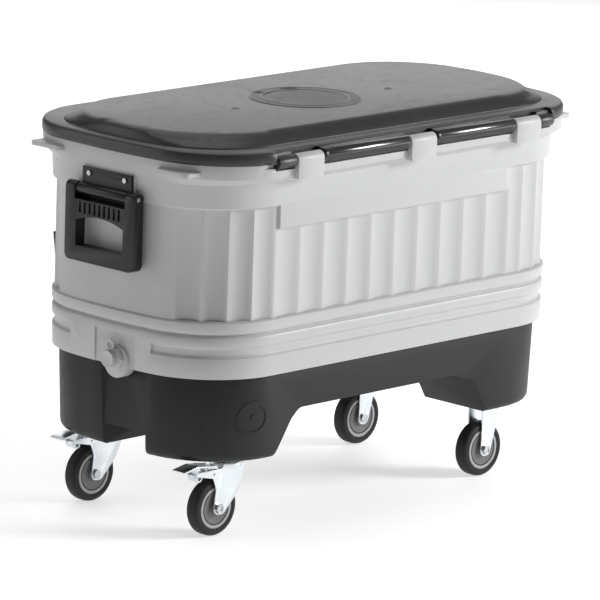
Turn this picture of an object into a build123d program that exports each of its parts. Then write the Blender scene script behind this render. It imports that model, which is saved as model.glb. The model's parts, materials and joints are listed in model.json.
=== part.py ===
from build123d import *
import os
from math import cos, radians, sin

os.makedirs("parts", exist_ok=True)

# Driving dimensions, in millimetres. X runs along the cooler, the hinge row is on the -Y side,
# the drain end is at -X, and the floor under the wheels is z = 0.
wheel_radius = 50.0
wheel_width = 27.0
plate_top = 150.0
foot_bottom = 140.0
arch_top = 221.0
tub_bottom = 250.0
base_top = 290.0
tub_rim = 665.0
lid_bottom = 665.3
lid_edge_top = 687.0
lid_dome_top = 708.0
liner_floor = 288.0
wall = 4.0

# Outlines are (half length at the corners, half width, bow of each end, corner radius).
foot_outline = (428.0, 228.0, 26.0, 148.0)
base_outline = (431.0, 233.0, 28.0, 153.0)
tub_outline = (442.0, 238.0, 29.0, 153.0)
plug_outline = (426.0, 238.0, 29.0, 134.0)
rim_outline = (454.0, 265.0, 27.0, 154.0)
lid_outline = (457.0, 270.0, 27.0, 166.0)
dome_foot_outline = (438.0, 220.0, 22.0, 130.0)
dome_top_outline = (400.0, 190.0, 39.0, 150.0)
liner_low_outline = (410.0, 184.0, 22.0, 106.0)
liner_top_outline = (420.0, 192.0, 24.0, 108.0)

# Casters: the wheel centre and the swivel axis of each one.
swivel_x = -330.0
swivel_trail = 33.0
fixed_x = 315.0
caster_y = 153.0
fork_gap = 30.0
fork_sheet = 2.5
fork_outside = fork_gap / 2 + fork_sheet
axle_radius = 5.0
running_gap = 0.05

# Hinge row, handles, drain and catcher.
hinge_y = -262.0
hinge_z = 667.0
rod_radius = 3.0
knuckle_radius = 11.0
lug_radius = 12.0
lugs = ((-296.0, -235.0), (-17.0, 45.0), (253.0, 315.0))
knuckles = ((-340.0, -300.0), (-231.0, -21.0), (49.0, 249.0), (319.0, 350.0))
handle_axis_x = 489.0
handle_axis_z = 592.0
drain_y = -22.0
drain_z = 305.0
recess_y = (-77.0, 26.0)
catcher_x = -300.0
flute_pitch = 58.6
first_flute_x = -309.0
flute_radius = 88.0
flute_depth = 5.0
flute_bottom = 391.0
flute_top = 584.0
panel_bottom = 546.0
corner_flute_angle = 16.8
corner_flute_radius = 60.0
corner_centre = (312.8, 85.0)


def outline(z, shape, grow=0.0):
    """A level face at height z with straight long sides, bowed ends and rounded corners."""
    half_length, half_width, bow, radius = shape
    x = half_length + grow
    y = half_width + grow
    edges = [
        Edge.make_line((-x, -y), (x, -y)),
        Edge.make_three_point_arc((x, -y), (x + bow, 0), (x, y)),
        Edge.make_line((x, y), (-x, y)),
        Edge.make_three_point_arc((-x, y), (-x - bow, 0), (-x, -y)),
    ]
    face = Face(Wire(edges))
    return Pos(0, 0, z) * face.fillet_2d(radius + grow, face.vertices())


def stack(*levels):
    """A solid whose wall runs straight from one level (z, outline, grow) to the next."""
    return loft([outline(*level) for level in levels], ruled=True)


def block(x0, x1, y0, y1, z0, z1):
    """A box given by its limits."""
    size = (abs(x1 - x0), abs(y1 - y0), z1 - z0)
    return Pos((x0 + x1) / 2, (y0 + y1) / 2, (z0 + z1) / 2) * Box(*size)


def rod_z(x, y, z0, z1, radius):
    """An upright cylinder between two heights."""
    return Pos(x, y, (z0 + z1) / 2) * Cylinder(radius, z1 - z0)


def rod_y(x, z, y0, y1, radius):
    """A cylinder along Y between two places, in either order."""
    return Pos(x, (y0 + y1) / 2, z) * Rot(90, 0, 0) * Cylinder(radius, abs(y1 - y0))


def rod_x(y, z, x0, x1, radius):
    """A cylinder along X between two places, in either order."""
    return Pos((x0 + x1) / 2, y, z) * Rot(0, 90, 0) * Cylinder(radius, abs(x1 - x0))


def side_plate(points, y0, y1, radii=None):
    """An XZ polygon, its corners rounded by the given radii, as a plate from y0 to y1."""
    face = Face(Wire.make_polygon([(x, 0, z) for x, z in points]))
    for corner, radius in (radii or {}).items():
        x, z = points[corner]
        near = face.vertices().sort_by_distance((x, 0, z))[0]
        face = face.fillet_2d(radius, [near])
    return Pos(0, y0, 0) * extrude(face, y1 - y0, dir=(0, 1, 0))


# Pedestal base -------------------------------------------------------------------------------

def arch(clearance):
    """The space under the long sides, between the feet."""
    low = foot_bottom - 5
    points = [
        (-292 - clearance, low),
        (-250 - clearance, 204),
        (-232 - clearance, arch_top + clearance),
        (192 + clearance, arch_top + clearance),
        (213 + clearance, 204),
        (254 + clearance, low),
    ]
    return side_plate(points, -300, 300, {1: 22, 2: 22, 3: 22, 4: 22})


def end_recess(side, clearance):
    """The set-back panel between the two feet of one end, and the channel below it."""
    depth = side * (452 - clearance)
    points = [
        (depth, recess_y[0] - clearance),
        (depth, recess_y[1] + clearance),
        (side * 480, recess_y[1] + 16 + clearance),
        (side * 480, recess_y[0] - 16 - clearance),
    ]
    panel = Face(Wire.make_polygon([(x, y, 100) for x, y in points]))
    panel = extrude(panel, base_top - 99, dir=(0, 0, 1))
    channel = block(side * 200, side * 500, recess_y[0] - clearance, recess_y[1] + clearance, 100, 178 + clearance)
    return panel + channel


def drain_lobe(grow, x0, x1):
    """The round lobe of the tub wall behind the drain."""
    return rod_x(drain_y, drain_z - 6, x0, x1, 29 + grow)


def make_base():
    """Open-topped pedestal with four hollow feet, caster pockets and ribs that carry the tub."""
    outer = stack(
        (foot_bottom, foot_outline, -9),
        (foot_bottom + 2.5, foot_outline, -4),
        (foot_bottom + 7, foot_outline, -1),
        (foot_bottom + 14, foot_outline, 0),
        (base_top, base_outline, 0),
    )
    outer -= arch(0)
    hollow = stack((156, foot_outline, -7), (tub_bottom + 1, base_outline, -7))
    hollow -= arch(5)
    for side in (-1, 1):
        outer -= end_recess(side, 0)
        hollow -= end_recess(side, 6)
    ribs = Part()
    for x in (-345, -120, 70, 330):
        ribs += block(x - 2, x + 2, -300, 300, 150, tub_bottom)
    for y in (-110, 110):
        ribs += block(-500, 500, y - 2, y + 2, 150, tub_bottom)
    hollow -= ribs
    base = outer - hollow
    base -= stack((tub_bottom, plug_outline, -11), (base_top + 1, plug_outline, -11))
    for x, y in caster_centres():
        base -= block(x - 52, x + 52, y - 37, y + 37, 100, plate_top)
        for bolt_x, bolt_y in plate_bolts(x, y):
            base -= rod_z(bolt_x, bolt_y, 140, 160, 4.2)
    base -= drain_lobe(0.6, -520, -440)
    for x, y in tub_screws():
        base += rod_z(x, y, arch_top, tub_bottom, 9)
        base -= rod_z(x, y, arch_top - 1, tub_bottom + 1, 3.2)
    return base


def caster_centres():
    """Centre of each caster's top plate, swivel pair first."""
    return [
        (swivel_x, -caster_y),
        (swivel_x, caster_y),
        (fixed_x + 12, -caster_y),
        (fixed_x + 12, caster_y),
    ]


def plate_bolts(x, y):
    """The four bolt places of a caster plate."""
    return [(x + dx, y + dy) for dx in (-38, 38) for dy in (-25, 25)]


def tub_screws():
    """Screws that hold the tub down on the pedestal."""
    return [(x, y) for x in (-190, -20, 150) for y in (-85, 85)]


# Tub -----------------------------------------------------------------------------------------

def long_side_flutes(side):
    """Cutters for the upright hollow flutes of one long side and of its two corners."""
    wall_y = tub_outline[1] - 1
    reach = flute_radius - flute_depth
    cut = Part()
    for i in range(10):
        x = first_flute_x + flute_pitch * (i + 0.5)
        cut += rod_z(x, -(wall_y + reach), flute_bottom, panel_bottom, flute_radius)
    last_x = first_flute_x + flute_pitch * 10
    narrow_half = (corner_centre[0] - last_x) / 2
    narrow_reach = (corner_flute_radius**2 - narrow_half**2) ** 0.5
    narrow_x = last_x + narrow_half
    cut += rod_z(narrow_x, -(wall_y + narrow_reach), flute_bottom, flute_top, corner_flute_radius)
    arris_radius = tub_outline[3] - 1
    chord_half = arris_radius * sin(radians(corner_flute_angle / 2))
    reach = arris_radius * cos(radians(corner_flute_angle / 2))
    reach += (corner_flute_radius**2 - chord_half**2) ** 0.5
    for end in (-1, 1):
        for i in range(4):
            angle = radians(corner_flute_angle * (i + 0.5))
            x = end * (corner_centre[0] + reach * sin(angle))
            y = -(corner_centre[1] + reach * cos(angle))
            cut += rod_z(x, y, flute_bottom, flute_top, corner_flute_radius)
    if side > 0:
        cut = mirror(cut, Plane.XZ)
    return cut


def corner_tabs():
    """Flat lifting tabs that stand out of the rim at the four corners."""
    tabs = Part()
    for end in (-1, 1):
        for side in (-1, 1):
            tab = block(end * 420, end * 486, side * 118, side * 194, 646, 653)
            tabs += fillet(tab.edges().filter_by(Axis.Z), 10)
    return tabs


def hinge_lugs():
    """The three lugs of the tub that carry the hinge rod."""
    row = Part()
    for x0, x1 in lugs:
        lug = block(x0, x1, hinge_y - lug_radius, hinge_y + lug_radius, 636, hinge_z)
        lug += rod_x(hinge_y, hinge_z, x0, x1, lug_radius)
        lug = chamfer(lug.edges().filter_by(Axis.X).sort_by(Axis.Z)[0], 8)
        row += lug
    return row


def handle_pad(side):
    """Flat seat on one end for the handle bracket."""
    return block(side * 455, side * 479, -61, 61, 558, 630)


def drain_recess():
    """The shallow flat set into the lower band round the drain."""
    return block(-480, -468.5, -64, 34, base_top - 1, 350)


def drip_channel():
    """The shallow channel that runs along the lower band, except across the middle of the ends."""
    outside = stack((326, tub_outline, 8), (346, tub_outline, 8))
    inside = stack((325, tub_outline, 1), (331, tub_outline, -3), (341, tub_outline, -3), (347, tub_outline, 1))
    ring = outside - inside
    return ring - block(-520, 520, -100, 100, 320, 360)


def tub_cavity(shrink, top):
    """The space inside the outer skin, made smaller all round by shrink."""
    lower = stack((tub_bottom + 6, plug_outline, -19 - shrink), (300, plug_outline, -14 - shrink))
    upper = stack(
        (300, tub_outline, -14 - shrink),
        (600, tub_outline, -13 - shrink),
        (630, tub_outline, -8 - shrink),
        (643, rim_outline, -18 - shrink),
        (top, rim_outline, -18 - shrink),
    )
    return lower + upper


def make_outer_shell():
    """Blow-moulded outer skin of the tub, from its foot to the rim, with flutes and hinge lugs."""
    plug = stack((tub_bottom, plug_outline, -13), (base_top, plug_outline, -12))
    body = stack(
        (base_top, tub_outline, 0),
        (358, tub_outline, 2),
        (362, tub_outline, 0.5),
        (366, tub_outline, -5),
        (370, tub_outline, 1),
        (374, tub_outline, 2.5),
        (388, tub_outline, 2.5),
        (flute_bottom, tub_outline, -1),
        (flute_top, tub_outline, -1),
        (588, tub_outline, 5),
        (628, tub_outline, 7),
        (641, rim_outline, -1),
        (tub_rim, rim_outline, 0),
    )
    shell = plug + body
    for side in (-1, 1):
        shell += block(-306, 277, side * 225, side * 242.5, panel_bottom, 590)
        shell -= long_side_flutes(side)
        shell += handle_pad(side)
    cavity = tub_cavity(0, tub_rim + 1)
    shell -= drain_recess() + drip_channel()
    shell += corner_tabs() + drain_lobe(0, -474.5, -455)
    shell -= block(-342, 352, hinge_y - 20, hinge_y + lug_radius + 1, 653, tub_rim + 5)
    shell -= block(-400, 400, hinge_y - 20, hinge_y + 4, 658, tub_rim + 5)
    shell += hinge_lugs()
    for pad in make_catcher_pads():
        shell += pad
    for x, z in opener_screws() + catcher_screws():
        shell -= rod_y(x, z, 230, 250, 2.0)
    shell -= cavity
    shell -= stack((tub_rim - wall, rim_outline, -3.7), (tub_rim + 1, rim_outline, -3.7)) - block(
        -400, 400, -300, hinge_y + lug_radius + 5.7, 600, 700
    )
    shell -= rod_x(hinge_y, hinge_z, -400, 400, rod_radius + running_gap)
    shell -= rod_x(drain_y, drain_z, -500, -400, 12)
    for x, y in tub_screws():
        shell -= rod_z(x, y, tub_bottom - 1, tub_bottom + 7, 2.5)
    for side in (-1, 1):
        for y, z in bracket_screws():
            shell -= rod_x(y, z, side * 440, side * 480, 2.0)
    return shell


def make_liner():
    """Inner tub with its flange, which laps over the rim."""
    liner = stack((liner_floor - wall, liner_low_outline, wall), (tub_rim, liner_top_outline, wall))
    flange = stack((tub_rim - wall, rim_outline, -4), (tub_rim, rim_outline, -4))
    flange -= block(-400, 400, -300, hinge_y + lug_radius + 6, 600, 700)
    liner += flange
    liner -= stack((liner_floor, liner_low_outline, 0), (tub_rim + 1, liner_top_outline, 0))
    liner -= rod_x(drain_y, drain_z, -480, -400, 12)
    return liner


def make_tub_foam():
    """Insulation that fills the space between skin and liner."""
    foam = tub_cavity(0.3, tub_rim - wall)
    foam -= stack((liner_floor - wall, liner_low_outline, wall + 0.3), (tub_rim, liner_top_outline, wall + 0.3))
    foam -= rod_x(drain_y, drain_z, -520, -380, 22)
    for x, y in tub_screws():
        foam -= rod_z(x, y, tub_bottom, tub_bottom + 16, 4)
    for side in (-1, 1):
        for y, z in bracket_screws():
            foam -= rod_x(y, z, side * 435, side * 480, 3.0)
    return foam


# Lid -----------------------------------------------------------------------------------------

def make_lid_shell():
    """Outer skin of the lid with its raised dome, two knuckle covers and two end knuckles."""
    edge = stack(
        (lid_bottom, lid_outline, -1.5),
        (lid_bottom + 2, lid_outline, 0),
        (lid_edge_top - 7, lid_outline, 0),
        (lid_edge_top - 2, lid_outline, -2.5),
        (lid_edge_top, lid_outline, -7),
    )
    dome = stack(
        (lid_edge_top - 2, dome_foot_outline, 0),
        (lid_edge_top + 2, dome_foot_outline, -2),
        (lid_dome_top - 8, dome_top_outline, 15),
        (lid_dome_top - 3.5, dome_top_outline, 9),
        (lid_dome_top - 1, dome_top_outline, 3),
        (lid_dome_top, dome_top_outline, -3),
    )
    lid = edge + dome
    lid -= stack((lid_bottom - 1, lid_outline, -6), (lid_edge_top - wall, lid_outline, -9))
    lid -= stack((lid_edge_top - wall - 1, dome_top_outline, 8), (lid_dome_top - wall, dome_top_outline, 3))
    hinge_front = hinge_y + lug_radius + 2
    lid -= block(-343, 353, -300, hinge_front, 600, 720)
    lid += block(-343, 353, hinge_front, hinge_front + wall, lid_bottom, lid_edge_top - 1) & stack(
        (lid_bottom, lid_outline, -1), (lid_edge_top, lid_outline, -1)
    )
    for x0, x1 in knuckles:
        knuckle = rod_x(hinge_y, hinge_z, x0, x1, knuckle_radius)
        knuckle += block(x0, x1, hinge_y - 2, hinge_front + 1, hinge_z + 2, hinge_z + knuckle_radius)
        knuckle += block(x0, x1, hinge_y + 4, hinge_front + 1, hinge_z + 2, lid_edge_top - 4)
        lid += knuckle
    lid -= rod_x(hinge_y, hinge_z, -400, 400, rod_radius + running_gap)
    return lid


def make_lid_liner():
    """Under-side panel of the lid, with the shallow plug that enters the tub."""
    hinge_front = hinge_y + lug_radius + 2 + wall + 0.3
    panel = stack((lid_bottom, lid_outline, -6.5), (lid_bottom + wall, lid_outline, -7.2))
    panel -= block(-400, 400, -300, hinge_front, 600, 720)
    plug = stack((650, liner_top_outline, -9), (lid_bottom + 1, liner_top_outline, -6))
    hollow = stack((650 + wall, liner_top_outline, -13), (lid_bottom + wall + 1, liner_top_outline, -10))
    return panel + plug - hollow


def make_lid_foam():
    """Insulation inside the lid."""
    hinge_front = hinge_y + lug_radius + 2 + wall + 0.3
    low = lid_bottom + wall
    foam = stack((low, lid_outline, -8.4), (lid_edge_top - wall, lid_outline, -9.4))
    foam -= block(-400, 400, -300, hinge_front, 600, 720)
    foam += stack((650 + wall, liner_top_outline, -13.4), (low, liner_top_outline, -10.6))
    foam += stack(
        (lid_edge_top - wall - 1, dome_top_outline, 7.6),
        (lid_dome_top - wall - 0.2, dome_top_outline, 2.6),
    )
    return foam


def make_hinge_rod():
    """Steel rod through all the lugs and knuckles."""
    return rod_x(hinge_y, hinge_z, -339, 349, rod_radius)


# End handles ---------------------------------------------------------------------------------

def bracket_screws():
    """Places (y, z) of the four screws of a handle bracket."""
    return [(y, z) for y in (-44, 44) for z in (567, 619)]


def make_bracket(side):
    """Wall bracket with the barrel that the handle turns on."""
    plate = block(side * 479, side * 483.5, -61, 61, 558, 629)
    barrel = rod_y(side * handle_axis_x, handle_axis_z, -60, 60, 10)
    web = block(side * 482, side * handle_axis_x, -60, 60, handle_axis_z - 9, handle_axis_z + 9)
    bracket = plate + barrel + web
    bracket -= rod_y(side * handle_axis_x, handle_axis_z, -80, 80, 4 + running_gap)
    for y, z in bracket_screws():
        bracket -= rod_x(y, z, side * 470, side * 490, 2.4)
    return bracket


def make_handle(side):
    """Swing handle: two arms, a fluted web under the barrel, a finger window and a grip bar."""
    front = side * 500
    back = side * 478
    x0 = min(front, back)
    x1 = max(front, back)
    frame = block(x0, x1, -85, 85, 466, handle_axis_z)
    for y0 in (-85, 62):
        frame += rod_y(side * handle_axis_x, handle_axis_z, y0, y0 + 23, 11)
    frame -= block(x0 - 20, x1 + 20, -62, 62, 574, 620)
    edges = frame.edges().filter_by(Axis.X).group_by(Axis.Z)[0]
    frame = fillet(edges, 12)
    window = block(x0 - 20, x1 + 20, -58, 58, 493, 536)
    arch_tool = rod_x(0, 536 - 150, x0 - 20, x1 + 20, 162)
    arch_tool &= block(x0 - 20, x1 + 20, -58, 58, 530, 560)
    frame -= window + arch_tool
    for i in range(9):
        y = -48 + 12 * i
        frame -= block(front, front - side * 3, y - 2.5, y + 2.5, 551, 571)
    frame -= block(side * 487, side * 470, -62, 62, 550, 580)
    frame -= rod_y(side * handle_axis_x, handle_axis_z, -90, 90, 4 + running_gap)
    return frame


def make_handle_pin(side):
    """Pivot pin of a handle."""
    return rod_y(side * handle_axis_x, handle_axis_z, -84, 84, 4)


def make_bracket_screws():
    """Pan-head screws of both brackets."""
    screws = []
    for side in (-1, 1):
        for y, z in bracket_screws():
            screw = rod_x(y, z, side * 458, side * 483.5, 2.0)
            screw += rod_x(y, z, side * 483.5, side * 486, 4.5)
            screws.append(screw)
    return screws


# Drain ---------------------------------------------------------------------------------------

def make_drain_spout():
    """Threaded tube through both walls, with its flange inside the tub."""
    spout = rod_x(drain_y, drain_z, -488, -424, 11.7)
    spout += rod_x(drain_y, drain_z, -429, -424, 16)
    return spout - rod_x(drain_y, drain_z, -500, -400, 8)


def make_drain_seal():
    """Rubber ring between the spout's flange and the liner."""
    seal = rod_x(drain_y, drain_z, -431.5, -429, 16)
    return seal - rod_x(drain_y, drain_z, -500, -400, 11.8)


def make_drain_nut():
    """Hexagon nut on the outside, drawn up against the tub wall."""
    nut = extrude(Plane.YZ.offset(-482) * RegularPolygon(21, 6), 7.5)
    nut = Pos(0, drain_y, drain_z) * nut
    return nut - rod_x(drain_y, drain_z, -500, -470, 11.75)


def make_drain_loop():
    """Flat ring round the spout with a finger loop on top."""
    disc = rod_x(drain_y, drain_z, -485, -482, 18)
    loop = rod_x(drain_y + 4, drain_z + 24, -485, -482, 9.5)
    neck = block(-485, -482, drain_y - 1, drain_y + 9, drain_z + 8, drain_z + 20)
    loop_plate = disc + loop + neck - rod_x(drain_y + 4, drain_z + 24, -490, -480, 5.5)
    return loop_plate - rod_x(drain_y, drain_z, -500, -470, 11.75)


def make_drain_cap():
    """Cap that closes the spout."""
    cap = rod_x(drain_y, drain_z, -495, -485.3, 15)
    cap = fillet(cap.edges().group_by(Axis.X)[0], 3)
    return cap - rod_x(drain_y, drain_z, -489.5, -480, 12.1)


# Cap catcher and opener ----------------------------------------------------------------------

def opener_screws():
    """Places (x, z) of the opener's screws on the far long side."""
    return [(catcher_x - 16, 520), (catcher_x + 16, 520)]


def catcher_screws():
    """Places (x, z) of the screws of the catcher's hanger."""
    return [(catcher_x - 20, 432), (catcher_x + 20, 432)]


def make_catcher_hanger():
    """Rail on the wall that the bin hooks over."""
    hanger = block(catcher_x - 32, catcher_x + 32, 243, 247, 425, 455)
    for x, z in catcher_screws():
        hanger -= rod_y(x, z, 230, 260, 2.4)
    return hanger


def make_catcher():
    """Open bin that catches bottle caps; its back hooks on the rail."""
    outer = loft(
        [
            Pos(catcher_x, 260.5, 350) * Rectangle(76, 20),
            Pos(catcher_x, 262, 462) * Rectangle(100, 24),
        ],
        ruled=True,
    )
    inner = loft(
        [
            Pos(catcher_x, 260.5, 353) * Rectangle(71, 15),
            Pos(catcher_x, 262, 463) * Rectangle(95, 19),
        ],
        ruled=True,
    )
    lip = block(catcher_x - 30, catcher_x + 30, 243, 252, 455.3, 458.3)
    hook = block(catcher_x - 30, catcher_x + 30, 247.3, 252, 442, 458.3)
    return outer - inner + (lip + hook - inner)


def make_opener():
    """Bottle opener: a cast plate with a hooked ring."""
    plate = block(catcher_x - 24, catcher_x + 24, 243, 247, 486, 536)
    ring = rod_y(catcher_x, 500, 247, 262, 17)
    ring -= rod_y(catcher_x, 500, 240, 270, 12)
    ring -= block(catcher_x - 20, catcher_x + 20, 240, 270, 470, 496)
    opener = plate + ring
    for x, z in opener_screws():
        opener -= rod_y(x, z, 230, 260, 2.4)
    return opener


def make_catcher_pads():
    """Flat seats on the far side behind the opener and the catcher rail."""
    return [
        block(catcher_x - 24, catcher_x + 24, 220, 243, 484, 538),
        block(catcher_x - 24, catcher_x + 24, 220, 243, 422, 456),
    ]


def make_far_side_screws():
    """Pan-head screws of the opener and the rail."""
    screws = []
    for x, z in opener_screws() + catcher_screws():
        screws.append(rod_y(x, z, 231, 247, 2.0) + rod_y(x, z, 247, 249, 4.0))
    return screws


# Casters -------------------------------------------------------------------------------------

def make_hub(x, y):
    """Plastic wheel core with a rim, a thin web and a bored boss."""
    half = wheel_width / 2
    hub = rod_y(x, wheel_radius, y - half + 2, y + half - 2, 37)
    for side in (-1, 1):
        y0 = y + side * (half + 1)
        y1 = y + side * 8
        hub -= rod_y(x, wheel_radius, y0, y1, 29) - rod_y(x, wheel_radius, y0, y1, 13)
    hub += rod_y(x, wheel_radius, y - 14.5, y + 14.5, 10)
    return hub - rod_y(x, wheel_radius, y - 30, y + 30, axle_radius + running_gap)


def make_tyre(x, y):
    """Rubber tread round the core."""
    half = wheel_width / 2
    tyre = rod_y(x, wheel_radius, y - half, y + half, wheel_radius)
    tyre = fillet(tyre.edges().filter_by(GeomType.CIRCLE), 7)
    return tyre - rod_y(x, wheel_radius, y - 30, y + 30, 37)


def make_axle(x, y, side):
    """Axle bolt, its head on the inner side."""
    end = fork_outside + 5
    axle = rod_y(x, wheel_radius, y - end, y + end, axle_radius)
    return axle + rod_y(x, wheel_radius, y - side * fork_outside, y - side * end, 8)


def make_axle_nut(x, y, side):
    """Lock nut on the outer side."""
    y0 = y + side * fork_outside
    nut = extrude(Plane.XZ * RegularPolygon(9, 6), -6 * side)
    nut = Pos(x, y0, wheel_radius) * nut
    return nut - rod_y(x, wheel_radius, y - 40, y + 40, axle_radius)


def fork_leg(points, y, side, radii):
    """One pressed leg of a fork, outside the wheel."""
    low = y + fork_gap / 2 if side > 0 else y - fork_outside
    return side_plate(points, low, low + fork_sheet, radii)


def make_swivel_fork(y):
    """Pressed fork of a swivel caster: crown, two raked legs and the lower race."""
    x = swivel_x - swivel_trail
    points = [
        (x - 12, 40),
        (x + 12, 38),
        (x + 45, 71),
        (x + 58, 98),
        (x + 61, 120),
        (x - 52, 120),
        (x - 52, 113),
        (x - 14, 105),
        (x - 6, 84),
    ]
    fork = Part()
    for side in (-1, 1):
        fork += fork_leg(points, y, side, {0: 11, 1: 11, 2: 18, 3: 20, 7: 6})
    fork += block(x + 8, x + 61, y - fork_outside, y + fork_outside, 120, 122.5)
    fork += rod_z(swivel_x, y, 120, 128, 28)
    fork -= rod_z(swivel_x, y, 110, 140, 9 + running_gap)
    fork -= rod_y(x, wheel_radius, y - 30, y + 30, axle_radius)
    fork -= rod_y(x - 9, 110, y - 30, y + 30, 3)
    return fork


def make_ball_ring(y):
    """Ring of bearing balls between the two races."""
    balls = []
    for i in range(16):
        angle = radians(22.5 * i)
        balls.append(Pos(swivel_x + 22 * cos(angle), y + 22 * sin(angle), 131.5) * Sphere(3))
    return balls


def make_top_plate(y):
    """Mounting plate of a swivel caster with the upper race."""
    plate = block(swivel_x - 50, swivel_x + 50, y - 35, y + 35, plate_top - 3, plate_top)
    plate = fillet(plate.edges().filter_by(Axis.Z), 8)
    plate += rod_z(swivel_x, y, 135, plate_top - 3, 28)
    for bolt_x, bolt_y in plate_bolts(swivel_x, y):
        plate -= rod_z(bolt_x, bolt_y, 140, 160, 4.2)
    return plate - rod_z(swivel_x, y, 100, 160, 9)


def make_king_pin(y):
    """Rivet that holds fork and plate together and that the fork turns on."""
    pin = rod_z(swivel_x, y, 113, plate_top, 9)
    return pin + rod_z(swivel_x, y, 113, 119.5, 13)


def make_brake_pedal(y):
    """Foot lever: a tongue, two ears on the pivot and a curled brake shoe."""
    x = swivel_x - swivel_trail
    tongue = [(x - 82, 122), (x - 82, 125), (x - 50, 131), (x - 8, 126), (x - 8, 123), (x - 50, 128)]
    pedal = side_plate(tongue, y - 15, y + 15)
    ear = [(x - 30, 129.3), (x - 3, 125.5), (x - 3, 106), (x - 15, 104)]
    for side in (-1, 1):
        ear_low = y + 12 if side > 0 else y - 14.5
        pedal += side_plate(ear, ear_low, ear_low + 2.5, {2: 4, 3: 4})
    shoe = rod_y(x - 41, 108, y - 11, y + 11, 7) - rod_y(x - 41, 108, y - 13, y + 13, 4.5)
    arm = block(x - 42.5, x - 39.5, y - 11, y + 11, 113, 129)
    pedal += shoe + arm
    return pedal - rod_y(x - 9, 110, y - 30, y + 30, 3 + running_gap)


def make_pedal_pin(y):
    """Rivet that the pedal turns on."""
    x = swivel_x - swivel_trail
    return rod_y(x - 9, 110, y - fork_outside - 1, y + fork_outside + 1, 3)


def make_fixed_fork(y):
    """Pressed fork of a fixed caster: plate and two straight legs in one piece."""
    x = fixed_x
    points = [(x - 12, 38), (x + 12, 38), (x + 34, 118), (x + 34, plate_top - 3), (x - 10, plate_top - 3), (x - 10, 70)]
    fork = block(x - 38, x + 62, y - 35, y + 35, plate_top - 3, plate_top)
    fork = fillet(fork.edges().filter_by(Axis.Z), 8)
    for side in (-1, 1):
        fork += fork_leg(points, y, side, {0: 11, 1: 11})
    fork -= rod_y(x, wheel_radius, y - 30, y + 30, axle_radius)
    for bolt_x, bolt_y in plate_bolts(x + 12, y):
        fork -= rod_z(bolt_x, bolt_y, 140, 160, 4.2)
    return fork


def make_caster_bolts():
    """Bolts through each caster plate and the floor of its foot."""
    bolts = []
    for x, y in caster_centres():
        for bolt_x, bolt_y in plate_bolts(x, y):
            bolt = rod_z(bolt_x, bolt_y, 147, 168, 4)
            bolts.append(bolt + rod_z(bolt_x, bolt_y, 142, 147, 6.5))
    return bolts


def make_caster_nuts():
    """Nuts inside the feet."""
    nuts = []
    for x, y in caster_centres():
        for bolt_x, bolt_y in plate_bolts(x, y):
            nut = extrude(RegularPolygon(7.5, 6), 6.5)
            nut -= Pos(0, 0, 3.25) * Cylinder(4, 6.5)
            nuts.append(Pos(bolt_x, bolt_y, 156) * nut)
    return nuts


def make_tub_screws():
    """Screws from below the pedestal into the tub."""
    screws = []
    for x, y in tub_screws():
        screws.append(rod_z(x, y, arch_top, tub_bottom + 14, 2.5) + rod_z(x, y, arch_top - 3, arch_top, 6))
    return screws


def write(node, shape):
    """Write one node; a list is a group of separate solids."""
    if isinstance(shape, list):
        shape = Compound(children=[piece.solids()[0] for piece in shape])
    export_step(shape, "parts/" + node + ".step")


write("base", make_base())
write("outer_shell", make_outer_shell())
write("inner_liner", make_liner())
write("tub_foam", make_tub_foam())
write("tub_screws", make_tub_screws())
write("lid_shell", make_lid_shell())
write("lid_liner", make_lid_liner())
write("lid_foam", make_lid_foam())
write("hinge_rod", make_hinge_rod())
for end, side in (("drain_end", -1), ("far_end", 1)):
    write("handle_bracket_" + end, make_bracket(side))
    write("handle_" + end, make_handle(side))
    write("handle_pin_" + end, make_handle_pin(side))
write("bracket_screws", make_bracket_screws())
write("drain_spout", make_drain_spout())
write("drain_seal", make_drain_seal())
write("drain_nut", make_drain_nut())
write("drain_loop", make_drain_loop())
write("drain_cap", make_drain_cap())
write("catcher_hanger", make_catcher_hanger())
write("cap_catcher", make_catcher())
write("bottle_opener", make_opener())
write("far_side_screws", make_far_side_screws())
for row, side in (("near", -1), ("far", 1)):
    y = side * caster_y
    x = swivel_x - swivel_trail
    write("swivel_plate_" + row, make_top_plate(y))
    write("king_pin_" + row, make_king_pin(y))
    write("ball_ring_" + row, make_ball_ring(y))
    write("swivel_fork_" + row, make_swivel_fork(y))
    write("swivel_axle_" + row, make_axle(x, y, side))
    write("swivel_nut_" + row, make_axle_nut(x, y, side))
    write("swivel_hub_" + row, make_hub(x, y))
    write("swivel_tyre_" + row, make_tyre(x, y))
    write("brake_pedal_" + row, make_brake_pedal(y))
    write("pedal_pin_" + row, make_pedal_pin(y))
    write("fixed_fork_" + row, make_fixed_fork(y))
    write("fixed_axle_" + row, make_axle(fixed_x, y, side))
    write("fixed_nut_" + row, make_axle_nut(fixed_x, y, side))
    write("fixed_hub_" + row, make_hub(fixed_x, y))
    write("fixed_tyre_" + row, make_tyre(fixed_x, y))
write("caster_bolts", make_caster_bolts())
write("caster_nuts", make_caster_nuts())
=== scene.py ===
import json
from math import atan2, cos, hypot, pi, radians, sin

import bpy
from mathutils import Matrix, Vector


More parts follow.
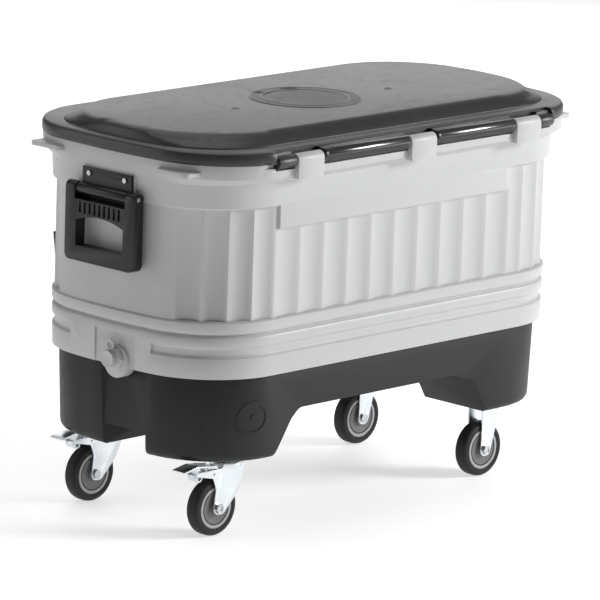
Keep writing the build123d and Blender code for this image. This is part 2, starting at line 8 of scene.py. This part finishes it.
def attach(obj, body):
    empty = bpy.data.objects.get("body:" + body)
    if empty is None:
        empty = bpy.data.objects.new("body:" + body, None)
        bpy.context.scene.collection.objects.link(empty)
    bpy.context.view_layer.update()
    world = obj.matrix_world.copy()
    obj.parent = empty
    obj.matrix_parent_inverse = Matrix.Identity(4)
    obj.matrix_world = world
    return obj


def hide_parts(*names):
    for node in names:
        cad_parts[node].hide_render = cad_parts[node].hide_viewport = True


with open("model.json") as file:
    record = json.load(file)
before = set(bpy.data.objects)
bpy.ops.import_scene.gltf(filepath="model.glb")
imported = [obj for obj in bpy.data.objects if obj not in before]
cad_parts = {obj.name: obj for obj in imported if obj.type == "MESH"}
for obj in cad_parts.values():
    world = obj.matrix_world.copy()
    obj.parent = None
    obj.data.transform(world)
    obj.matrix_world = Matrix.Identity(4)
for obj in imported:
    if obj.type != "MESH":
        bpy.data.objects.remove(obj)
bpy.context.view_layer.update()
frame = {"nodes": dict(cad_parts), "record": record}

# ---------------------------------------------------------------------------------------------
# Camera. A long lens far away, about 12 degrees above the middle of the tub, looking at the
# drain end and the hinge side, with a slight roll.
turn, rise, roll = radians(-45.87), radians(12.33), radians(1.85)
aim = Vector((-0.0017, 0.0, 0.3392))
camera_distance = 9.826
back = Vector((sin(turn) * cos(rise), -cos(turn) * cos(rise), sin(rise)))
flat_right = Vector((cos(turn), sin(turn), 0.0))
flat_up = back.cross(flat_right)
right = flat_right * cos(roll) + flat_up * sin(roll)
up = flat_up * cos(roll) - flat_right * sin(roll)
bpy.ops.object.camera_add()
camera = bpy.context.object
facing = Matrix((right, up, back)).transposed().to_4x4()
camera.matrix_world = Matrix.Translation(aim + back * camera_distance) @ facing
camera.data.lens = 331.7
camera.data.sensor_width = 36.0
camera.data.clip_end = 100.0
bpy.context.scene.camera = camera

# ---------------------------------------------------------------------------------------------
# Studio. A white floor that glows a little, a dim even room, one large key light on the hinge
# side, a weak one beside the drain end, one overhead, and a tall panel behind the far corner
# that the lid's top mirrors at a shallow angle.
bpy.context.scene.view_settings.view_transform = "Standard"
world = bpy.data.worlds.new("studio")
world.use_nodes = True
world.node_tree.nodes["Background"].inputs["Color"].default_value = (0.97, 0.985, 1.0, 1.0)
world.node_tree.nodes["Background"].inputs["Strength"].default_value = 0.12
bpy.context.scene.world = world


def softbox(name, place, target, size, power):
    """A square area light at a place, turned to a target."""
    bpy.ops.object.light_add(type="AREA", location=place)
    light = bpy.context.object
    light.name = name
    light.data.size = size
    light.data.energy = power
    light.visible_camera = False
    light.rotation_euler = (Vector(target) - Vector(place)).to_track_quat("-Z", "Y").to_euler()


softbox("key", (4.0, -4.0, 2.4), (0.0, -0.1, 0.35), 1.8, 285.0)
softbox("end_fill", (-3.6, 3.6, 1.8), (-0.3, 0.0, 0.35), 2.4, 30.0)
softbox("overhead", (0.0, 1.2, 4.5), (0.0, 0.0, 0.0), 4.0, 60.0)
softbox("back_panel", (3.6, 3.6, 2.2), (0.0, 0.0, 0.7), 3.4, 48.0)


class Value:
    """A socket of a material's node tree. + and * on it add Math nodes; make() adds any node."""

    def __init__(self, tree, socket=None):
        self.tree = tree
        self.socket = socket

    def make(self, kind, settings, inputs, output=0):
        node = self.tree.nodes.new(kind)
        for name, setting in settings.items():
            if name == "stops":
                elements = node.color_ramp.elements
                elements[0].position, elements[0].color = setting[0]
                elements[1].position, elements[1].color = setting[-1]
                for place, colour in setting[1:-1]:
                    elements.new(place).color = colour
            else:
                setattr(node, name, setting)
        for name, value in inputs.items():
            if isinstance(value, Value):
                self.tree.links.new(value.socket, node.inputs[name])
            else:
                node.inputs[name].default_value = value
        return Value(self.tree, node.outputs[output])

    def maths(self, operation, *values):
        return self.make("ShaderNodeMath", {"operation": operation}, dict(enumerate(values)))

    def __add__(self, other):
        return self.maths("ADD", self, other)

    def __mul__(self, other):
        return self.maths("MULTIPLY", self, other)

    def noise(self, where, scale, detail=3.0, roughness=0.5):
        inputs = {"Vector": where, "Scale": scale, "Detail": detail, "Roughness": roughness}
        return self.make("ShaderNodeTexNoise", {}, inputs)

    def ramp(self, *stops):
        grey = [(place, (level, level, level, 1.0)) for place, level in stops]
        return self.make("ShaderNodeValToRGB", {"stops": grey}, {"Fac": self})

    def mix(self, first, second):
        settings = {"data_type": "RGBA", "blend_type": "MIX"}
        return self.make("ShaderNodeMix", settings, {0: self, 6: first, 7: second}, 2)

    def bump(self, strength, distance):
        inputs = {"Height": self, "Strength": strength, "Distance": distance}
        return self.make("ShaderNodeBump", {}, inputs)


def material(name):
    """A new material with its shader, a start for its nodes, and the object coordinates."""
    made = bpy.data.materials.new(name)
    made.use_nodes = True
    shader = made.node_tree.nodes["Principled BSDF"]
    start = Value(made.node_tree)
    return made, shader, start, start.make("ShaderNodeTexCoord", {}, {}, 3)


def link(shader, **sockets):
    """Constants and links onto the shader's own sockets, named with _ for a space."""
    for name, value in sockets.items():
        socket = shader.inputs[name.replace("_", " ")]
        if isinstance(value, Value):
            value.tree.links.new(value.socket, socket)
        else:
            socket.default_value = value


bpy.ops.object.select_all(action="DESELECT")
bpy.ops.mesh.primitive_plane_add(size=60.0)
floor = bpy.context.object
floor.name = "floor"
floor_paint, shader, start, where = material("floor_pale")
link(
    shader,
    Base_Color=start.noise(where, 1.5, 4.0).mix((0.88, 0.88, 0.88, 1.0), (0.9, 0.9, 0.9, 1.0)),
    Roughness=0.7,
    Emission_Color=(1.0, 1.0, 1.0, 1.0),
    Emission_Strength=0.55,
)
floor.data.materials.append(floor_paint)

# ---------------------------------------------------------------------------------------------
# Pedestal base. One hollow charcoal shell with four feet, satin, with a fine grain. Its edges
# are soft from the mould, and it stands on four plate casters.
bodies = frame["record"]["behaviour"]["bodies"]
body_of = {node: body for body, nodes in bodies.items() for node in nodes}


def moulded(name, colour, worn, roughness, grain, grain_scale, coat=0.0, shine=0.5):
    """Moulded plastic: faint cloudiness, patches rubbed towards the worn colour, a fine grain."""
    made, shader, start, where = material(name)
    clouds = start.noise(where, 5.0, 4.0)
    rubbed = start.noise(where, 38.0, 6.0, 0.65).ramp((0.52, 0.0), (0.74, 1.0))
    fine = start.noise(where, grain_scale, 2.0)
    soft = start.noise(where, 60.0, 2.0)
    tone = (rubbed * 0.35 + clouds * 0.3).mix((*colour, 1.0), (*worn, 1.0))
    gloss = clouds * 0.10 + rubbed * 0.08 + (roughness - 0.07)
    relief = fine * grain + soft * 0.25
    link(
        shader,
        Base_Color=tone,
        Roughness=gloss,
        Normal=relief.bump(0.25, 0.0004),
        Coat_Weight=coat,
        Coat_Roughness=0.12,
        Specular_IOR_Level=shine,
    )
    return made


def alone(piece):
    """Only this piece is selected and active."""
    bpy.ops.object.select_all(action="DESELECT")
    bpy.context.view_layer.objects.active = piece
    piece.select_set(True)


def edit(piece):
    """Opens only this piece for editing, with nothing selected in it."""
    alone(piece)
    bpy.ops.object.mode_set(mode="EDIT")
    bpy.ops.mesh.select_all(action="DESELECT")


def apply(piece, kind, **settings):
    """Adds one modifier and applies it."""
    alone(piece)
    modifier = piece.modifiers.new(kind.lower(), kind)
    for name, value in settings.items():
        setattr(modifier, name, value)
    bpy.ops.object.modifier_apply(modifier=modifier.name)


def finished(piece, name, body, finish, smooth=35.0, nodes=()):
    """Names a piece, shades it, gives it its material and body, and hides what it stands for."""
    alone(piece)
    bpy.ops.object.transform_apply(location=True, rotation=True, scale=True)
    bpy.ops.object.shade_smooth_by_angle(angle=radians(smooth))
    piece.name = name
    piece.data.name = name
    if not piece.data.materials:
        piece.data.materials.append(finish)
    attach(piece, body)
    if nodes:
        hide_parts(*nodes)
    return piece


def softened(node, name, finish, width, sharp=32.0):
    """The moulded form of one CAD node: its mesh copied, merged and cleaned, with soft edges."""
    source = frame["nodes"][node]
    piece = bpy.data.objects.new(name, source.data.copy())
    bpy.context.collection.objects.link(piece)
    piece.data.materials.clear()
    edit(piece)
    bpy.ops.mesh.select_all(action="SELECT")
    bpy.ops.mesh.remove_doubles(threshold=0.00002)
    bpy.ops.mesh.dissolve_limited(angle_limit=radians(0.4))
    bpy.ops.object.mode_set(mode="OBJECT")
    apply(piece, "BEVEL", width=width, segments=2, limit_method="ANGLE", angle_limit=radians(sharp))
    return finished(piece, name, body_of[node], finish, 30.0, [node])


charcoal = moulded(
    "pedestal_charcoal", (0.010, 0.0105, 0.011), (0.02, 0.021, 0.022), 0.5, 1.0, 700.0, shine=0.35
)
pedestal = softened("base", "pedestal", charcoal, 0.0018)

# ---------------------------------------------------------------------------------------------
# Foot badge. A plain round boss moulded into the near foot at the drain end: a raised ring
# round a flat disc, following the curve of the foot.
badge_x, badge_z, badge_radius = -0.339, 0.217, 0.034
badge_y = -0.26
ring_inner, ring_outer = 0.024, 0.030
badge_insets = (0.004, 0.002, 0.002, 0.002, 0.006, 0.006, 0.006)
bpy.ops.object.select_all(action="DESELECT")
bpy.ops.mesh.primitive_circle_add(
    vertices=64,
    radius=badge_radius,
    fill_type="NGON",
    location=(badge_x, badge_y, badge_z),
    rotation=(pi / 2, 0.0, 0.0),
)
badge = bpy.context.object
bpy.ops.object.transform_apply(location=True, rotation=True, scale=True)
edit(badge)
bpy.ops.mesh.select_all(action="SELECT")
for inset in badge_insets:
    bpy.ops.mesh.inset(thickness=inset)
bpy.ops.object.mode_set(mode="OBJECT")
apply(
    badge,
    "SHRINKWRAP",
    target=pedestal,
    wrap_method="PROJECT",
    use_project_y=True,
    use_negative_direction=True,
    use_positive_direction=True,
    offset=0.0004,
)
for face in badge.data.polygons:
    distance = hypot(face.center.x - badge_x, face.center.z - badge_z)
    face.select = ring_inner < distance < ring_outer
bpy.ops.object.mode_set(mode="EDIT")
bpy.ops.mesh.select_mode(type="FACE")
bpy.ops.mesh.extrude_region_shrink_fatten(TRANSFORM_OT_shrink_fatten={"value": 0.0012})
bpy.ops.object.mode_set(mode="OBJECT")
apply(badge, "SOLIDIFY", thickness=0.0016, offset=-1.0)
finished(badge, "foot_badge", "tub", charcoal, 40.0)

# ---------------------------------------------------------------------------------------------
# Tub. A blow-moulded white double wall: the fluted outer skin with its rim and hinge lugs,
# and the smooth liner inside it.
white_plastic = moulded("tub_white", (0.52, 0.525, 0.53), (0.48, 0.48, 0.48), 0.45, 0.6, 900.0)
softened("outer_shell", "tub_skin", white_plastic, 0.0012, 28.0)
softened("inner_liner", "tub_liner", white_plastic, 0.001)

# ---------------------------------------------------------------------------------------------
# Lid. A dark grey moulded skin with a raised top panel, a rolled flange and a white liner
# below. The top is satin with a fine grain.
lid_grey = moulded("lid_dark", (0.032, 0.033, 0.034), (0.05, 0.05, 0.052), 0.4, 0.9, 1100.0)
liner_white = moulded("lid_liner_white", (0.7, 0.7, 0.7), (0.62, 0.62, 0.61), 0.4, 0.5, 1000.0)
softened("lid_shell", "lid_skin", lid_grey, 0.0014)
softened("lid_liner", "lid_underside", liner_white, 0.001)

# ---------------------------------------------------------------------------------------------
# Lid step. A thin raised line moulded round the foot of the lid's raised panel.
step_half_length, step_half_width, step_bow, step_corner = 0.441, 0.2230, 0.022, 0.131
step_low, step_thick, step_band = 0.6865, 0.0018, 0.0028
bpy.ops.object.select_all(action="DESELECT")
bpy.ops.mesh.primitive_plane_add(size=2.0, location=(0.0, 0.0, step_low))
step = bpy.context.object
step.scale = (step_half_length, step_half_width, 1.0)
bpy.ops.object.transform_apply(location=True, rotation=True, scale=True)
edit(step)
bpy.ops.mesh.select_all(action="SELECT")
bpy.ops.mesh.bevel(offset=step_corner, segments=24, affect="VERTICES")
bpy.ops.mesh.select_all(action="DESELECT")
bpy.ops.object.mode_set(mode="OBJECT")
for edge in step.data.edges:
    ends = [step.data.vertices[i].co for i in edge.vertices]
    edge.select = abs(ends[0].x - ends[1].x) < 0.0001 and abs(ends[0].y - ends[1].y) > 0.1
bpy.ops.object.mode_set(mode="EDIT")
bpy.ops.mesh.select_mode(type="EDGE")
bpy.ops.mesh.subdivide(number_cuts=20)
bpy.ops.object.mode_set(mode="OBJECT")
for vertex in step.data.vertices:
    share = 1.0 - (vertex.co.y / step_half_width) ** 2
    reach = min(1.0, max(0.0, (abs(vertex.co.x) - step_half_length + step_corner) / step_corner))
    vertex.co.x += (1.0 if vertex.co.x > 0.0 else -1.0) * step_bow * share * reach
edit(step)
bpy.ops.mesh.select_all(action="SELECT")
bpy.ops.mesh.inset(thickness=step_band)
bpy.ops.mesh.delete(type="FACE")
bpy.ops.mesh.select_all(action="SELECT")
bpy.ops.mesh.extrude_region_move(TRANSFORM_OT_translate={"value": (0.0, 0.0, step_thick)})
bpy.ops.mesh.select_all(action="SELECT")
bpy.ops.mesh.normals_make_consistent(inside=False)
bpy.ops.object.mode_set(mode="OBJECT")
apply(step, "BEVEL", width=0.0006, segments=2, limit_method="ANGLE", angle_limit=radians(50.0))
finished(step, "lid_step", "lid", lid_grey, 40.0)

# ---------------------------------------------------------------------------------------------
# Lid badge. A plain round plate in the middle of the lid, 0.8 mm proud and a little paler, with
# a fine raised rim and one inner ring, and two small gate marks from the mould beside it.
badge_grey = moulded("lid_badge_grey", (0.13, 0.13, 0.132), (0.16, 0.16, 0.16), 0.42, 0.6, 1300.0)
lid_top, sunk = 0.708, 0.001
plate_radius, plate_height = 0.100, 0.0018
plate_rings = (
    (0.0022, -0.0008),
    (0.018, 0.0),
    (0.0008, 0.0007),
    (0.0025, 0.0),
    (0.0008, -0.0007),
)
gate_radius, gate_height, gate_rim, gate_dip = 0.0065, 0.0015, 0.0015, 0.0006
gate_marks = (("gate_mark_drain_end", -0.192, -0.014), ("gate_mark_far_end", 0.170, -0.034))


def flat_disc(x, y, z, radius, height, sides):
    """An upright disc from height z, open for editing with its top face selected."""
    bpy.ops.object.select_all(action="DESELECT")
    bpy.ops.mesh.primitive_cylinder_add(
        vertices=sides, radius=radius, depth=height, location=(x, y, z + height / 2)
    )
    disc = bpy.context.object
    bpy.ops.object.transform_apply(location=True, rotation=True, scale=True)
    edit(disc)
    bpy.ops.object.mode_set(mode="OBJECT")
    for face in disc.data.polygons:
        face.select = face.normal.z > 0.9
    bpy.ops.object.mode_set(mode="EDIT")
    bpy.ops.mesh.select_mode(type="FACE")
    return disc


plate = flat_disc(-0.015, -0.009, lid_top - sunk, plate_radius, plate_height, 128)
for width, lift in plate_rings:
    bpy.ops.mesh.inset(thickness=width)
    bpy.ops.transform.translate(value=(0.0, 0.0, lift))
bpy.ops.object.mode_set(mode="OBJECT")
finished(plate, "lid_badge", "lid", badge_grey, 25.0)
for name, x, y in gate_marks:
    mark = flat_disc(x, y, lid_top - sunk, gate_radius, gate_height, 32)
    bpy.ops.mesh.inset(thickness=gate_rim)
    bpy.ops.transform.translate(value=(0.0, 0.0, -gate_dip))
    bpy.ops.object.mode_set(mode="OBJECT")
    finished(mark, name, "lid", lid_grey, 40.0)

# ---------------------------------------------------------------------------------------------
# Hinge covers. Glossy rounded covers over the lid's two long knuckles, with a grid of fine
# ribs below their front edge, and at the drain end of each a near-black block that paints the
# shade of the deep gap between the cover and the hinge lug.
cover_gloss = moulded(
    "hinge_cover_dark", (0.03, 0.03, 0.031), (0.05, 0.05, 0.05), 0.2, 0.3, 1200.0, coat=0.4
)
rib_grey = moulded("hinge_rib_grey", (0.09, 0.09, 0.092), (0.12, 0.12, 0.12), 0.4, 0.3, 1200.0)
# A near-black finish used as painted shade: it stands for the dark gap beside each hinge lug.
gap_shade_black = moulded("hinge_lip_black", (0.006, 0.006, 0.006), (0.01, 0.01, 0.01), 0.35, 0.4, 900.0)
hinge_y, hinge_z = -0.262, 0.667
knuckle_spans = ((-0.231, -0.021), (0.049, 0.249))
cover_shape = (hinge_y - 0.0120, 0.6805, 0.011)
gap_shade_shape = (hinge_y - 0.0124, 0.6812, 0.0115)
cover_start, gap_shade_length = 0.008, 0.0085
cover_edges = {
    "width": 0.0008,
    "segments": 2,
    "limit_method": "ANGLE",
    "angle_limit": radians(50.0),
}
rib_radius, rib_pitch, rib_thick = 0.0121, 0.0034, 0.0013
rib_start, rib_margin = 0.01, 0.012


def rounded_cover(x0, x1, front, top, radius):
    """A bar over the hinge line from x0 to x1, its front top edge rolled."""
    low, rear = hinge_z + 0.0005, hinge_y + 0.016
    bpy.ops.object.select_all(action="DESELECT")
    bpy.ops.mesh.primitive_cube_add(
        size=1.0, location=((x0 + x1) / 2, (front + rear) / 2, (low + top) / 2)
    )
    bar = bpy.context.object
    bar.scale = (x1 - x0, rear - front, top - low)
    bpy.ops.object.transform_apply(location=True, rotation=True, scale=True)
    edit(bar)
    bpy.ops.object.mode_set(mode="OBJECT")
    for edge in bar.data.edges:
        ends = [bar.data.vertices[i].co for i in edge.vertices]
        edge.select = all(end.y < front + 0.0001 and end.z > top - 0.0001 for end in ends)
    bpy.ops.object.mode_set(mode="EDIT")
    bpy.ops.mesh.select_mode(type="EDGE")
    bpy.ops.mesh.bevel(offset=radius, segments=12, affect="EDGES")
    bpy.ops.object.mode_set(mode="OBJECT")
    return bar


for number, (x0, x1) in enumerate(knuckle_spans, 1):
    cover = rounded_cover(x0 + cover_start, x1, *cover_shape)
    apply(cover, "BEVEL", **cover_edges)
    finished(cover, "hinge_cover_%d" % number, "lid", cover_gloss)
    # A near-black block filling the first 8.5 mm of each knuckle span: painted shade of the gap
    # there.
    gap_shade_block = rounded_cover(x0, x0 + gap_shade_length, *gap_shade_shape)
    apply(gap_shade_block, "BEVEL", **cover_edges)
    finished(gap_shade_block, "hinge_lip_%d" % number, "lid", gap_shade_black)
    bpy.ops.object.select_all(action="DESELECT")
    bpy.ops.mesh.primitive_cylinder_add(
        vertices=32,
        radius=rib_radius,
        depth=rib_thick,
        location=(x0 + rib_start, hinge_y, hinge_z),
        rotation=(0.0, pi / 2, 0.0),
    )
    rib = bpy.context.object
    bpy.ops.object.transform_apply(location=True, rotation=True, scale=True)
    edit(rib)
    bpy.ops.mesh.select_all(action="SELECT")
    bpy.ops.mesh.bisect(
        plane_co=(0.0, hinge_y, hinge_z), plane_no=(0.0, 0.0, 1.0), clear_outer=True, use_fill=True
    )
    bpy.ops.object.mode_set(mode="OBJECT")
    count = int((x1 - x0 - rib_margin) / rib_pitch)
    apply(
        rib,
        "ARRAY",
        count=count,
        use_relative_offset=False,
        use_constant_offset=True,
        constant_offset_displace=(rib_pitch, 0.0, 0.0),
    )
    finished(rib, "hinge_ribs_%d" % number, "lid", rib_grey)

# ---------------------------------------------------------------------------------------------
# End handles. Glossy black moulded swing handles on brackets that are screwed to the wall,
# with soft edges all round.
gloss_black = moulded(
    "handle_black", (0.005, 0.005, 0.005), (0.010, 0.010, 0.010), 0.36, 0.3, 800.0, shine=0.4
)
for end in ("drain_end", "far_end"):
    softened("handle_" + end, "swing_handle_" + end, gloss_black, 0.0012)
    softened("handle_bracket_" + end, "bracket_" + end, gloss_black, 0.0009)

# ---------------------------------------------------------------------------------------------
# Drain. White moulded fittings on the spout: a hexagon nut, a flat ring with a finger loop,
# and a screw cap with grip ridges round its edge.
fitting_white = moulded("fitting_white", (0.54, 0.54, 0.535), (0.49, 0.49, 0.48), 0.38, 0.4, 1200.0)
softened("drain_nut", "hex_nut", fitting_white, 0.0007)
softened("drain_loop", "finger_loop", fitting_white, 0.0005)
drain_y, drain_z = -0.022, 0.305
cap_outer, cap_inner, cap_radius, cap_sides = -0.495, -0.4853, 0.0143, 60
ridge_height = 0.0008
bpy.ops.object.select_all(action="DESELECT")
bpy.ops.mesh.primitive_cylinder_add(
    vertices=cap_sides,
    radius=cap_radius,
    depth=cap_inner - cap_outer,
    location=((cap_outer + cap_inner) / 2, drain_y, drain_z),
    rotation=(0.0, pi / 2, 0.0),
)
cap = bpy.context.object
bpy.ops.object.transform_apply(location=True, rotation=True, scale=True)
edit(cap)
bpy.ops.object.mode_set(mode="OBJECT")
for face in cap.data.polygons:
    around = atan2(face.center.y - drain_y, face.center.z - drain_z)
    side = int((around + pi) / (2 * pi) * cap_sides)
    face.select = abs(face.normal.x) < 0.5 and side % 3 != 0
bpy.ops.object.mode_set(mode="EDIT")
bpy.ops.mesh.select_mode(type="FACE")
bpy.ops.mesh.extrude_region_shrink_fatten(TRANSFORM_OT_shrink_fatten={"value": ridge_height})
bpy.ops.mesh.select_all(action="DESELECT")
bpy.ops.object.mode_set(mode="OBJECT")
for face in cap.data.polygons:
    face.select = face.normal.x < -0.9 and face.area > 0.0002
bpy.ops.object.mode_set(mode="EDIT")
bpy.ops.mesh.inset(thickness=0.003)
bpy.ops.transform.translate(value=(0.001, 0.0, 0.0))
bpy.ops.object.mode_set(mode="OBJECT")
apply(cap, "BEVEL", width=0.0005, segments=2, limit_method="ANGLE", angle_limit=radians(40.0))
finished(cap, "screw_cap", "drain_cap", fitting_white, 30.0, ["drain_cap"])

# ---------------------------------------------------------------------------------------------
# Cap catcher. A black bin hooked on a rail on the far side, under a cast bottle opener.
softened("cap_catcher", "catcher_bin", gloss_black, 0.0012)
softened("catcher_hanger", "catcher_rail", gloss_black, 0.0006)


def plated_steel(name, colour, roughness):
    """Zinc-plated pressed steel: mottled plating, fine drawing lines and dull patches."""
    made, shader, start, where = material(name)
    stretched = start.make("ShaderNodeMapping", {}, {"Vector": where, "Scale": (40.0, 40.0, 900.0)})
    lines = start.noise(stretched, 1.0, 2.0)
    mottle = start.noise(where, 90.0, 5.0, 0.6)
    dull = start.noise(where, 24.0, 4.0).ramp((0.45, 0.0), (0.75, 1.0))
    darker = tuple(0.72 * c for c in colour)
    link(
        shader,
        Base_Color=(mottle * 0.25 + dull * 0.3).mix((*colour, 1.0), (*darker, 1.0)),
        Metallic=1.0,
        Roughness=lines * 0.12 + dull * 0.16 + roughness,
        Normal=(lines * 0.6 + mottle * 0.4).bump(0.06, 0.0002),
    )
    return made


plain_steel = plated_steel("plain_steel", (0.55, 0.56, 0.57), 0.26)
softened("bottle_opener", "opener", plain_steel, 0.0008)

# ---------------------------------------------------------------------------------------------
# Wheels. Black rubber treads on grey plastic cores: each core has a pale outer ring, a dark
# groove inside it and a shallow dish round the axle boss. Both are turned shapes.
wheel_radius, wheel_y = 0.050, 0.153
wheel_x = {"swivel": -0.363, "fixed": 0.315}


def rubber(name, colour, roughness):
    """Dark rubber with floor dust in its pores."""
    made, shader, start, where = material(name)
    pores = start.noise(where, 1400.0, 2.0)
    dust = start.noise(where, 55.0, 6.0, 0.7).ramp((0.5, 0.0), (0.8, 1.0))
    dusty = tuple(c + 0.02 for c in colour)
    link(
        shader,
        Specular_IOR_Level=0.35,
        Base_Color=(dust * 0.5 + pores * 0.15).mix((*colour, 1.0), (*dusty, 1.0)),
        Roughness=dust * 0.12 + roughness,
        Normal=pores.bump(0.3, 0.0004),
    )
    return made


def turned(name, profile, steps):
    """A solid of revolution about Y: a closed profile of (radius, y) points, spun one full turn."""
    bpy.ops.object.select_all(action="DESELECT")
    bpy.ops.mesh.primitive_plane_add(size=0.001, location=(profile[0][0], profile[0][1], 0.0))
    piece = bpy.context.object
    bpy.ops.object.transform_apply(location=True, rotation=True, scale=True)
    edit(piece)
    bpy.ops.mesh.select_mode(type="VERT")
    bpy.ops.mesh.select_all(action="SELECT")
    bpy.ops.mesh.merge(type="CENTER")
    for first, second in zip(profile, profile[1:]):
        move = (second[0] - first[0], second[1] - first[1], 0.0)
        bpy.ops.mesh.extrude_region_move(TRANSFORM_OT_translate={"value": move})
    bpy.ops.mesh.select_all(action="SELECT")
    bpy.ops.mesh.remove_doubles(threshold=0.00001)
    bpy.ops.mesh.spin(steps=steps, angle=2 * pi, center=(0.0, 0.0, 0.0), axis=(0.0, 1.0, 0.0))
    bpy.ops.mesh.select_all(action="SELECT")
    bpy.ops.mesh.remove_doubles(threshold=0.00001)
    bpy.ops.mesh.normals_make_consistent(inside=False)
    bpy.ops.object.mode_set(mode="OBJECT")
    piece.name = name
    return piece


def mirrored(half):
    """A closed profile from its +Y half, which runs from the outside to the bore."""
    return half + [(radius, -y) for radius, y in reversed(half)] + [half[0]]


tyre_rubber = rubber("tyre_rubber", (0.014, 0.014, 0.015), 0.6)
hub_grey = moulded("hub_grey", (0.13, 0.13, 0.132), (0.18, 0.18, 0.18), 0.42, 0.5, 900.0)
ring_grey = moulded("hub_ring_grey", (0.36, 0.36, 0.365), (0.42, 0.42, 0.42), 0.38, 0.4, 900.0)
tread = [
    (0.0500, 0.0060),
    (0.0494, 0.0088),
    (0.0480, 0.0110),
    (0.0455, 0.0127),
    (0.0430, 0.0135),
    (0.0405, 0.0133),
    (0.0398, 0.0126),
    (0.0390, 0.0132),
    (0.0370, 0.0128),
    (0.0370, 0.0105),
]
core = [
    (0.0369, 0.0112),
    (0.0366, 0.0120),
    (0.0356, 0.0126),
    (0.0316, 0.0126),
    (0.0306, 0.0118),
    (0.0304, 0.0098),
    (0.0292, 0.0098),
    (0.0290, 0.0116),
    (0.0280, 0.0120),
    (0.0200, 0.0106),
    (0.0140, 0.0100),
    (0.0110, 0.0102),
    (0.0102, 0.0136),
    (0.0096, 0.0145),
    (0.00505, 0.0145),
]
tyre_form = turned("tyre_form", mirrored(tread), 96)
hub_form = turned("hub_form", mirrored(core), 96)
hub_form.data.materials.append(hub_grey)
hub_form.data.materials.append(ring_grey)
hub_form.data.materials.append(tyre_rubber)
for face in hub_form.data.polygons:
    reach = hypot(face.center.x, face.center.z)
    ring = 0.0308 < reach < 0.0369 and abs(face.center.y) > 0.0107
    groove = 0.0290 < reach < 0.0306
    face.material_index = 1 if ring else 2 if groove else 0


def placed(form, x, y, z):
    """A copy of a form with its own mesh, moved to its place in the mesh itself."""
    piece = bpy.data.objects.new(form.name, form.data.copy())
    bpy.context.collection.objects.link(piece)
    piece.data.transform(Matrix.Translation((x, y, z)))
    return piece


for kind, x in wheel_x.items():
    for row, y in (("near", -wheel_y), ("far", wheel_y)):
        body = "%s_wheel_%s" % (kind, row)
        tyre = placed(tyre_form, x, y, wheel_radius)
        node = "%s_tyre_%s" % (kind, row)
        finished(tyre, "tread_%s_%s" % (kind, row), body, tyre_rubber, 40.0, [node])
        hub = placed(hub_form, x, y, wheel_radius)
        node = "%s_hub_%s" % (kind, row)
        finished(hub, "core_%s_%s" % (kind, row), body, hub_grey, 30.0, [node])
bpy.data.objects.remove(tyre_form)
bpy.data.objects.remove(hub_form)

# ---------------------------------------------------------------------------------------------
# Caster forks, plates and brake pedals. Bright zinc-plated pressings, bolted up into the feet.
zinc = plated_steel("zinc_plate", (0.80, 0.84, 0.87), 0.2)
for row in ("near", "far"):
    softened("swivel_fork_" + row, "raked_fork_" + row, zinc, 0.0006)
    softened("fixed_fork_" + row, "straight_fork_" + row, zinc, 0.0006)
    softened("swivel_plate_" + row, "top_plate_" + row, zinc, 0.0006)
    softened("brake_pedal_" + row, "brake_lever_" + row, zinc, 0.0005)

# ---------------------------------------------------------------------------------------------
# Small steel and rubber parts, and the foam between the walls. They keep their simple turned
# and pressed forms: axles, nuts, rivets, bolts, screws, pins, balls, the hinge rod and seal.
foam_cream = moulded("foam_cream", (0.75, 0.68, 0.45), (0.6, 0.52, 0.32), 0.9, 2.0, 300.0)
kept_finishes = {
    "fitting_plastic": fitting_white,
    "seal_rubber": tyre_rubber,
    "foam": foam_cream,
    "zinc_steel": zinc,
    "steel": plain_steel,
}
for entry in frame["record"]["subparts"]:
    node = frame["nodes"][entry["node"]]
    node.data.materials.clear()
    node.data.materials.append(kept_finishes.get(entry["material_slot"], plain_steel))
